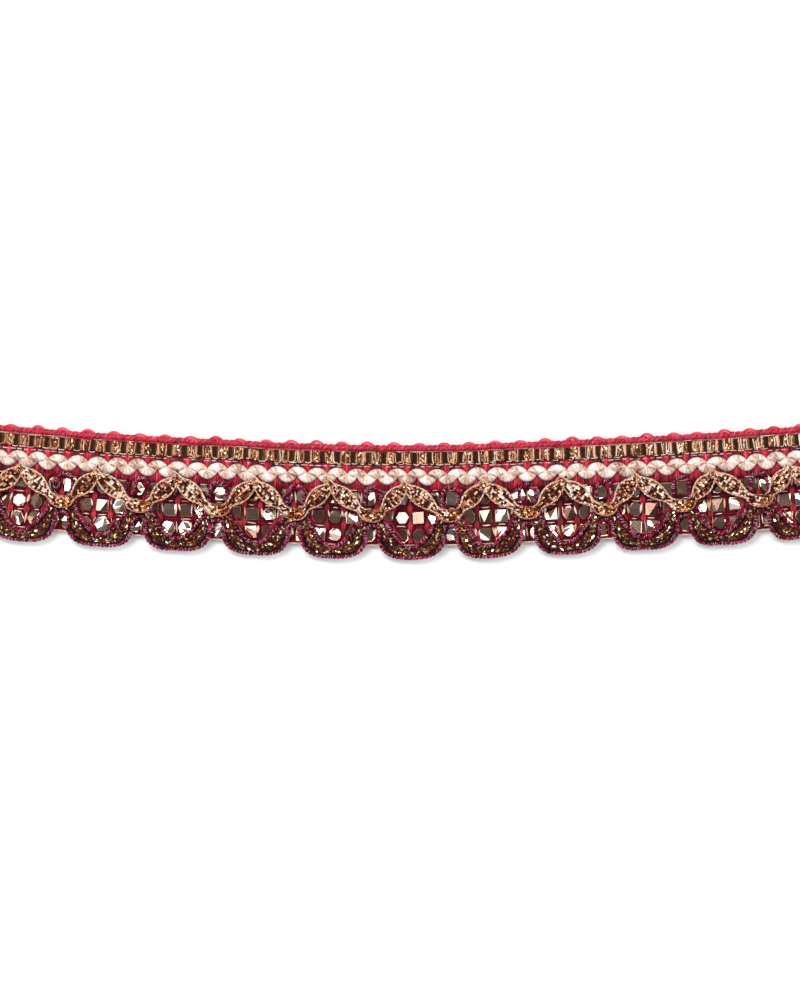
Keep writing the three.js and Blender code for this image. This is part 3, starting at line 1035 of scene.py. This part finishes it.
def leanOf(rng):
    # the way a bubble's top leans: towards a lamp, or a little in any direction
    if rng.uniform() < film["litShare"]:
        box = softboxes[rng.choice(len(softboxes), p=film["lampShares"])]
        aim = math.radians(box["azimuth"]) + rng.normal(0, 0.15)
        return True, aim, math.tan(math.radians(box["fromUp"] / 2 + rng.normal(0, 3)))
    steep = math.tan(abs(math.radians(rng.normal(0, film["tiltDeg"]))))
    return False, rng.uniform(0, fullTurn), steep


def makeFilmRow(row):
    rng = np.random.default_rng(row["seed"])
    alongSteps = int(trimLength / film["pitch"]) * film["stepsAlong"]

    def lay(u, v):
        along = firstValley + u * trimLength
        down = row["top"] + v * (row["bottom"] - row["top"])
        turn = (along - film["phase"]) / film["pitch"]
        up = film["base"] + film["swell"] * np.cos(fullTurn * turn) * np.sin(math.pi * v)
        lacquer = rng.uniform(-0.06, 0.13, len(u))  # it lies unevenly
        return np.stack([along, down, up], 1), lacquer, np.stack([along, down], 1)

    mesh = gridMesh(row["name"], alongSteps, film["stepsAcross"], lay)
    thicken(mesh, film["thickness"])
    bubbles = []
    for along in middlesOf(film):
        wide = rng.uniform(1.14, 1.34)
        tall = rng.uniform(1.2, 1.45)
        rise = film["bubbleRise"] * rng.uniform(0.85, 1.15)
        lit, aim, steep = leanOf(rng)
        slope = (-steep * math.cos(aim) * wide / rise, -steep * math.sin(aim) * tall / rise)
        matrix = spotMatrix(
            along + rng.uniform(-0.1, 0.1),
            (row["top"] + row["bottom"]) / 2 + rng.uniform(-0.1, 0.1),
            film["bubbleBase"],
            rng.uniform(-0.12, 0.12),
            scale=(wide, tall, rise),
        )
        shapes = bubbleShapes["lit" if lit else "plain"]
        template = shapes[rng.integers(len(shapes))]
        # painted light: the bubbles that lean to mirror a lamp are also given a paler tint than the rest
        shade = rng.uniform(0.6, 1.0) if lit else rng.uniform(0.4, 0.75)
        bubbles.append((template, matrix, shade, slope))
    bm = bmesh.new()
    bm.from_mesh(mesh)
    bm.from_mesh(scatterMesh("bubbles", bubbles, film["footTone"]))
    bm.to_mesh(mesh)
    bm.free()
    addPiece(mesh, [mirrorFilm], [row["node"]], smooth=False)


# Pale foil threads that cross the film where its rows meet, and one along the tape's lower edge
filmThreads = {
    "radius": 0.1,
    "fold": 0.24,
    "foldShown": 0.68,
    "up": 1.62,
    "endGap": 1.5,
    "rows": [
        {"down": 8.85, "shown": 0.55},
        {"down": 12.32, "shown": 0.85},
        {"down": 15.8, "shown": 0.8},
    ],
    "edgeDown": 19.42,
    "edgeUp": 1.1,
}


def makeFilmThreads():
    rng = np.random.default_rng(97)
    strands = []
    share = np.linspace(-1, 1, 7)
    columns = int(lastValley / film["pitch"]) + 2
    for thread in filmThreads["rows"]:
        for column in range(-columns, columns):
            middle = film["phase"] + column * film["pitch"] + rng.uniform(-0.2, 0.2)
            if rng.uniform() > thread["shown"] or not isWithin(middle, filmThreads["endGap"]):
                continue
            reach = rng.uniform(0.4, 0.95)
            bow = rng.uniform(-0.08, 0.08)
            down = thread["down"] + bow * (1 - share**2) + rng.uniform(-0.08, 0.08) * share
            up = filmThreads["up"] + 0.12 * (1 - share**2)
            radius = filmThreads["radius"] * rng.uniform(0.7, 1.3) * (1 - 0.5 * share**4)
            along = middle + rng.uniform(-0.2, 0.3) + reach * share
            strands.append(strandOf(along, down, up, radius, rng.uniform(0.6, 1.0)))
            for side in (-1, 1):  # folds of the film that stand up beside a bubble, painted pale as a painted highlight of the mirror film
                if rng.uniform() > filmThreads["foldShown"]:
                    continue
                down = thread["down"] + np.linspace(0.5, rng.uniform(1.4, 2.8), 7)
                aside = side * (rng.uniform(1.15, 1.45) + rng.uniform(-0.2, 0.2) * share)
                thick = filmThreads["fold"] * rng.uniform(0, 1) ** 2
                radius = 0.05 + (0.04 + thick) * (1 - share**2)
                shade = rng.uniform(0.5, 1)
                strands.append(strandOf(middle + aside, down, filmThreads["up"], radius, shade))
    edge = straightLine(filmThreads["edgeDown"], filmThreads["edgeUp"], 0.5)
    edge[:, 1] += wanderOf(rng, len(edge), 0.1)
    strands.append({"line": edge, "radius": filmThreads["radius"] * 1.3, "shade": 0.75})
    addPiece(tubeMesh("filmThreads", strands, 6), [paleGoldYarn])


# The magenta cords of the border. The foil wound round their plies is painted bright in places, as
# painted glints
magentaCord = {
    "radius": 0.4,
    "step": 0.16,
    "plies": 2,
    "plySpread": 0.21,
    "plyRadius": 0.23,
    "lay": 1.55,
    "yarnSpread": 0.19,
    "yarnRadius": 0.095,
    "yarnLay": 1.1,
    "plyTone": 0.08,
    "plyStep": 0.16,
    "plyDrift": 0.6,
    # the wound foil's tone drifts far and is clipped, which paints bright glints on it: painted
    # highlights
    "yarnTone": 0.74,
    "yarnStep": 0.0,
    "yarnDrift": 3.2,
    "toneLimits": (0.15, 1.15),
}

# Half of each wave, from a valley to the middle of a scallop
innerWave = [
    {"across": 0, "down": 8.2},
    {"across": 0.9, "down": 8.5},
    {"across": 1.45, "down": 9.3},
    {"across": 1.6, "down": 10.6},
    {"across": 1.7, "down": 12.2},
    {"across": 2.05, "down": 13.7},
    {"across": 2.95, "down": 15.6},
    {"across": 4.4, "down": 17.8},
    {"across": 5.75, "down": 19.2},
    {"across": 7.435, "down": 19.9},
]
outerWave = [
    {"across": 0, "down": 15.6},
    {"across": 0.95, "down": 15.95},
    {"across": 1.35, "down": 16.9},
    {"across": 1.35, "down": 18.1},
    {"across": 1.6, "down": 19.4},
    {"across": 2.3, "down": 20.5},
    {"across": 3.5, "down": 21.3},
    {"across": 5.2, "down": 21.75},
    {"across": 7.435, "down": 21.85},
]


def makeWaveCord(name, node, route, seed):
    rng = np.random.default_rng(seed)
    line = waveLine(route, "low", magentaCord["step"])
    line[:, 2] = bedAt(line[:, 1]) + magentaCord["radius"]
    strands = pliedStrands(rng, line, magentaCord)
    addPiece(tubeMesh(name, strands, 4), [magentaYarn], [node])


# The dark glitter braid between the two magenta waves: a flat plait of six strands, three of
# yarn and three of foil
braid = {
    "route": [
        {"across": 0, "down": 14.1, "half": 0.5},
        {"across": 1.1, "down": 14.5, "half": 0.46},
        {"across": 1.95, "down": 15.6, "half": 0.42},
        {"across": 2.45, "down": 17.0, "half": 0.42},
        {"across": 3.1, "down": 18.5, "half": 0.7},
        {"across": 4.3, "down": 19.9, "half": 0.72},
        {"across": 5.7, "down": 20.5, "half": 0.48},
        {"across": 7.435, "down": 20.88, "half": 0.3},
    ],
    "rise": 0.3,
    "plaitMm": 2.3,
    "strands": 6,
    "radius": 0.25,
    "foilShare": 0.6,  # a foil strand is this thick beside a strand of yarn
    "groundRadius": 0.26,
    "fill": 0.26,  # the plait swells past its solid and closes up to both cords
    "step": 0.17,
    "chips": 2200,
    "chipThickness": 0.05,
    "glintFlakeEvery": 1.7,
}
strayFlake = {"along": 67.2, "down": 21.95, "up": 1.5, "turn": 0.4, "tilt": (0.25, 0.1)}
strayFlakeSize = (0.42, 0.26, 0.08)


def makeGlitterBraid():
    rng = np.random.default_rng(53)
    line = waveLine(braid["route"], "low", braid["step"])
    half = line[:, 2] + braid["fill"]
    line[:, 2] = bedAt(line[:, 1]) + braid["rise"]
    run = runOf(line)
    heading = headingOf(line)
    strands = []
    for ground in (-1, -0.4, 0.4, 1):  # dark ground yarns that close the gap to both cords
        spot = beside(line, heading, ground * (half + 0.25), -0.16 - 0.08 * abs(ground))
        shade = 0.12 + wanderOf(rng, len(line), 0.5)
        strands.append({"line": spot, "radius": braid["groundRadius"], "shade": shade})
    for strand in range(braid["strands"]):
        angle = fullTurn * run / braid["plaitMm"] + fullTurn * strand / braid["strands"]
        aside = np.sin(angle) * np.maximum(half - 0.12, 0.1)
        foil = strand % 2
        spot = beside(line, heading, aside, 0.13 * np.sin(2 * angle) + 0.06 * foil)
        radius = braid["radius"] * (braid["foilShare"] if foil else 1.0)
        shade = (0.5 if foil else 0.2) + wanderOf(rng, len(line), 0.7)
        strands.append({"line": spot, "radius": radius, "shade": shade})
    addPiece(tubeMesh("glitterBraid", strands, 4), [bronzeYarn], ["glitter_braid"])

    flakes = []

    def sprinkle(spot, aside, up, size, tilt, shade):
        matrix = spotMatrix(
            *beside(line[[spot]], heading[[spot]], aside, up)[0],
            -math.atan2(heading[spot, 1], heading[spot, 0]) + rng.normal(0, 0.4),
            rng.normal(0, tilt, 2),
            (size * rng.uniform(1.0, 1.6), size * rng.uniform(0.4, 0.8), braid["chipThickness"]),
        )
        flakes.append((chipShape, matrix, shade, (0, 0)))

    for chip in range(braid["chips"]):
        spot = rng.integers(4, len(line) - 4)
        aside = rng.uniform(-1, 1) * half[spot]
        up = rng.uniform(0.18, 0.36)
        sprinkle(spot, aside, up, rng.uniform(0.1, 0.2), 0.4, rng.beta(0.45, 0.9))
    # pale flakes along the braid, painted nearly white as painted glints
    for station in np.arange(2, run[-1] - 2, braid["glintFlakeEvery"]):
        spot = np.searchsorted(run, station + rng.uniform(-0.8, 0.8))
        aside = half[spot] * rng.uniform(-0.4, 0.8)
        sprinkle(spot, aside, 0.42, rng.uniform(0.18, 0.32), 0.15, 0.95)
    # one flake has slipped out under the outer cord
    stray = spotMatrix(**strayFlake, scale=strayFlakeSize)
    flakes.append((chipShape, stray, 0.95, (0, 0)))
    addPiece(scatterMesh("braidGlitter", flakes), [amberFoil], smooth=False)


def chipTemplate():  # a flat six-sided flake of foil
    bm = bmesh.new()
    bmesh.ops.create_circle(bm, cap_ends=True, segments=6, radius=1.0)
    made = bmesh.ops.extrude_face_region(bm, geom=bm.faces[:])
    top = [item for item in made["geom"] if isinstance(item, bmesh.types.BMVert)]
    bmesh.ops.translate(bm, vec=(0, 0, 1), verts=top)
    bmesh.ops.recalc_face_normals(bm, faces=bm.faces)
    mesh = bpy.data.meshes.new("chip")
    bm.to_mesh(mesh)
    bm.free()
    return mesh


# The leaf garland on top: two leaves to a scallop, bound at each peak, with a loop in each valley
garland = {
    "route": [
        {"across": 0, "down": 13.75, "half": 1.35},
        {"across": 1.15, "down": 13.45, "half": 1.2},
        {"across": 2.1, "down": 12.45, "half": 0.8},
        {"across": 3.3, "down": 11.15, "half": 1.52},
        {"across": 4.4, "down": 10.0, "half": 1.74},
        {"across": 5.6, "down": 8.8, "half": 1.3},
        {"across": 6.465, "down": 7.8, "half": 0.5},
    ],
    "padMm": 0.42,  # the foil lies in small pads, in rows, with dark holes between them
    "padRows": 5,
    "padSteps": 3,
    "padRise": 0.14,
    "holeShare": 0.36,
    "edgeRise": 0.12,
    "body": 0.45,
    "inset": 0.22,  # the pads stop this far inside the outer edge of the rims
    "risingPaintedShade": 0.68,  # painted shade: the leaves that rise to a peak are painted darker than those that fall from it
    "amberReach": 1.5,
    "amberDown": 13.6,
}
leafRim = {
    "radius": 0.12,
    "spread": 0.085,
    "lay": 0.8,
    "step": 0.15,
    "up": 0.36,
    "dip": 0.3,
    "loopReach": 2.0,  # the upper rim dips out of sight this near a valley
}
knot = {"chips": 36, "chipThickness": 0.08, "below": 0.3, "spread": (0.58, 0.48), "up": 0.62}

valleys = firstValley + np.arange(scallopCount + 1) * strip["pitch"]
peakShifts = np.array([row["peak"] for row in scallopRows]) - strip["peakLead"]
peaks = firstValley + (np.arange(scallopCount) + 0.5) * strip["pitch"] + peakShifts


def makeLeafGarland(rng):
    padSteps = garland["padSteps"]
    lead = strip["peakLead"]
    line = waveLine(garland["route"], "peak", garland["padMm"] / padSteps, lead, False)
    half = line[:, 2].copy()
    heading = headingOf(line)
    steps = len(line) - 1
    topSteps = garland["padRows"] * padSteps
    ringSteps = topSteps + 2
    tones = rng.beta(0.5, 0.5, (steps // padSteps + 2, garland["padRows"]))
    tilts = rng.uniform(-1, 1, (3,) + tones.shape)
    holes = rng.uniform(0, 1, tones.shape) < garland["holeShare"]
    scallop = np.clip(((line[:, 0] - firstValley) / strip["pitch"]).astype(int), 0, scallopCount - 1)
    # painted shade: the rising leaves are painted darker
    paintedLightGain = np.where(line[:, 0] < peaks[scallop], garland["risingPaintedShade"], 1.0)

    def lay(u, v):
        i = np.round(u * steps).astype(int)
        k = np.round(v * ringSteps).astype(int) % ringSteps
        onTop = k <= topSteps
        across = np.where(onTop, k / topSteps * 2 - 1, 0.0)
        crown = np.where(onTop, np.sqrt(np.clip(1 - across**2, 0, 1)), 0.0)
        row = np.clip(k // padSteps, 0, garland["padRows"] - 1)
        reach = i / padSteps + 0.5 * (row == 2)
        pad = reach.astype(int)
        offAlong = (reach - pad) * 2 - 1
        offAcross = (k / padSteps - row) * 2 - 1
        edge = np.clip(np.maximum(np.abs(offAlong), np.abs(offAcross)), 0, 1)
        lean = tilts[0, pad, row] * offAlong + tilts[1, pad, row] * offAcross + tilts[2, pad, row]
        hole = holes[pad, row]
        swell = np.where(hole, -1, 1) * garland["padRise"] * (1 - edge**2) + 0.08 * lean * (1 - edge)
        body = garland["edgeRise"] + garland["body"] * crown + swell * crown
        spot = beside(line[i], heading[i], across * (half[i] - garland["inset"]))
        spot[:, 2] = layers["garlandBed"] + np.where(onTop, body, 0.0)
        tone = np.where(hole, 0.03 + 0.22 * tones[pad, row], 0.44 + 0.86 * tones[pad, row])
        # painted shade: each pad is painted darker towards its edges, between the pads
        shade = paintedLightGain[i] * tone - 0.4 * edge**3
        return spot, shade, np.stack([u * steps, v], 1)

    mesh = gridMesh("leafGarland", steps, ringSteps, lay, closed=True)
    loops = np.stack([valleys, np.full_like(valleys, garland["amberDown"]), np.zeros_like(valleys)], 1)
    loops = onTrim(loops)
    for face in mesh.polygons:
        spot = np.array(face.center)[:2] / mm
        near = np.min(np.hypot(loops[:, 0] - spot[0], loops[:, 1] - spot[1]))
        face.material_index = 1 if near < garland["amberReach"] else 0
    addPiece(mesh, [goldGlitter, amberFoil], ["leaf_garland"], smooth=False)


def makeLeafRims(rng):  # the twisted yarn along both sides of the leaves
    line = waveLine(garland["route"], "peak", leafRim["step"], strip["peakLead"], False)
    wide = line[:, 2].copy()
    heading = headingOf(line)
    offValley = np.min(np.abs(line[:, 0][:, None] - valleys[None, :]), axis=1)
    inLoop = np.clip((leafRim["loopReach"] + 0.3 - offValley) / 0.8, 0, 1)
    strands = []
    for side in (-1, 1):
        rim = beside(line, heading, side * (wide - leafRim["radius"] - leafRim["spread"]))
        dips = side < 0
        bare = np.clip((leafRim["loopReach"] - offValley) / 0.5, 0, 1) * dips
        rim[:, 2] = layers["garlandBed"] + leafRim["up"] - leafRim["dip"] * bare
        radius = leafRim["radius"] * (1 - 0.5 * bare)
        for ply in range(2):
            plyLine = twistAround(rim, leafRim["spread"], leafRim["lay"], math.pi * ply)
            tone = 0.52 + 0.34 * ply - 0.08 * (side + 1)
            shade = tone - 0.24 * inLoop + wanderOf(rng, len(rim), 0.5)
            strands.append({"line": plyLine, "radius": radius, "shade": shade})
    addPiece(tubeMesh("leafRims", strands, 4), [paleGoldYarn])


def makePeakKnots(rng):
    # the binding at each peak: a nub of foil flakes, and two loose ends that cross over it
    peakDown = garland["route"][-1]["down"]
    flakes = []
    ends = []
    share = np.linspace(0, 1, 9)
    for peak in peaks:
        for chip in range(knot["chips"]):
            aside, low = rng.normal(0, knot["spread"])
            size = rng.uniform(0.14, 0.3)
            lift = knot["up"] - 0.4 * (aside**2 + low**2)
            matrix = spotMatrix(
                peak + aside,
                peakDown + knot["below"] + low,
                layers["garlandBed"] + max(lift, 0.1),
                rng.uniform(0, fullTurn),
                rng.normal(0, 0.5, 2),
                (size, size * rng.uniform(0.5, 1.0), knot["chipThickness"]),
            )
            flakes.append((chipShape, matrix, rng.beta(0.7, 0.9), (0, 0)))
        up = layers["garlandBed"] + 0.66 - 0.25 * share
        along = peak + np.linspace(-0.5, rng.uniform(1.3, 1.8), 9)
        down = peakDown - rng.uniform(0.9, 1.2) + 1.9 * share**1.3
        ends.append(strandOf(along, down, up, 0.12, rng.uniform(0.55, 0.95)))
        along = peak - np.linspace(0.2, rng.uniform(1.0, 1.7), 9)
        down = peakDown - rng.uniform(0.7, 1.0) + 1.4 * share**1.6
        ends.append(strandOf(along, down, up, 0.1, rng.uniform(0.3, 0.8)))
    addPiece(scatterMesh("peakNubs", flakes), [amberFoil], smooth=False)
    addPiece(tubeMesh("peakEnds", ends, 6), [paleGoldYarn])


print("pieces")
# The pairs of lines that a bubble's top is folded along. Each is the way it faces, how far it lies
# off the middle and how steeply the top drops past it
foldPairs = [
    [(1.4, 0.1, 0.5), (-0.3, 0.1, 0.7)],
    [(-0.5, 0.2, 0.7), (2.0, 0.0, 0.6)],
    [(2.6, -0.2, 0.8), (-1.2, 0.25, 0.6)],
    [(-1.9, 0.05, 0.6), (0.6, 0.15, 0.5)],
]
bubbleShapes = {
    "lit": [bubbleTemplate(sides, pair) for sides in (4, 6, 6, 8) for pair in foldPairs],
    "plain": [bubbleTemplate(sides) for sides in (4, 4, 6)]
    + [bubbleTemplate(sides, pair[:1]) for sides in (4, 8) for pair in foldPairs],
}
chipShape = chipTemplate()
makeWovenTape()
makeEdgeCord()
makeLadderRibbon()
makeLadderWires()
makeCrimsonStitches()
makePearlZigzag()
for filmRow in film["rows"]:
    makeFilmRow(filmRow)
makeFilmThreads()
makeWaveCord("innerWaveCord", "inner_wave_cord", innerWave, 83)
makeWaveCord("outerWaveCord", "outer_wave_cord", outerWave, 89)
makeGlitterBraid()
garlandDraws = np.random.default_rng(67)
makeLeafGarland(garlandDraws)
makeLeafRims(garlandDraws)
makePeakKnots(garlandDraws)

print("camera, floor and lights")
view = {
    "centre": (5.209, -2.233),  # what the middle of the picture looks at, in mm
    "lookHeight": 2.0,
    "distance": 600.0,
    "rollMm": 4.4,  # how far round the arc the picture's middle lies, which rolls the camera
    "mmPerPixel": 0.1947,
    "tallPixels": 1000,
    "sensor": 36.0,
}
camera = bpy.data.objects.new("camera", bpy.data.cameras.new("camera"))
bpy.context.scene.collection.objects.link(camera)
camera.data.sensor_width = view["sensor"]
camera.data.lens = view["sensor"] * view["distance"] / (view["mmPerPixel"] * view["tallPixels"])
cameraHeight = view["lookHeight"] + view["distance"]
camera.location = (view["centre"][0] * mm, view["centre"][1] * mm, cameraHeight * mm)
camera.rotation_euler = (0, 0, view["rollMm"] / strip["bendRadius"])
bpy.context.scene.camera = camera

floorSize = 3.0  # in metres
floorMesh = bpy.data.meshes.new("floor")
floorBm = bmesh.new()
bmesh.ops.create_grid(floorBm, x_segments=1, y_segments=1, size=floorSize)
floorBm.to_mesh(floorMesh)
floorBm.free()
# uncoated paper: matt, nearly white
floorMaterial, floorTree, floorShader = newMaterial("whitePaper")
setInputs(floorTree, floorShader, {"Base Color": linear("#FAFAFA"), "Roughness": 0.9})
floor = bpy.data.objects.new("floor", floorMesh)
bpy.context.scene.collection.objects.link(floor)
floorMesh.materials.append(floorMaterial)

for box in softboxes:
    light = bpy.data.lights.new(box["name"], "AREA")
    light.shape = "RECTANGLE"
    light.size, light.size_y = box["size"]
    light.energy = box["radiance"] * math.pi * box["size"][0] * box["size"][1]
    lamp = bpy.data.objects.new(box["name"], light)
    bpy.context.scene.collection.objects.link(lamp)
    aim = math.radians(box["azimuth"])
    lean = math.radians(box["fromUp"])
    out = Vector((math.cos(aim) * math.sin(lean), math.sin(aim) * math.sin(lean), math.cos(lean)))
    lamp.location = out * box["far"]
    lamp.rotation_euler = out.to_track_quat("Z", "Y").to_euler()

# The room: dark overhead, paler towards its walls
room = {
    "stops": [
        (0.0, "#C8C8C8"),
        (0.6, "#D0D0D0"),
        (0.82, "#8C8C8C"),
        (0.93, "#787878"),
        (1.0, "#727272"),
    ],
    "strength": 0.6,
}
world = bpy.data.worlds.new("studio")
world.use_nodes = True
worldTree = world.node_tree
compass = addNode(worldTree, "ShaderNodeTexCoord").outputs["Generated"]
upward = addNode(worldTree, "ShaderNodeSeparateXYZ", inputs={"Vector": compass}).outputs["Z"]
roomTone = addNode(worldTree, "ShaderNodeValToRGB", {"stops": room["stops"]}, {"Fac": upward})
background = {"Color": roomTone.outputs["Color"], "Strength": room["strength"]}
setInputs(worldTree, worldTree.nodes["Background"], background)
bpy.context.scene.world = world
bpy.context.scene.view_settings.view_transform = "Standard"
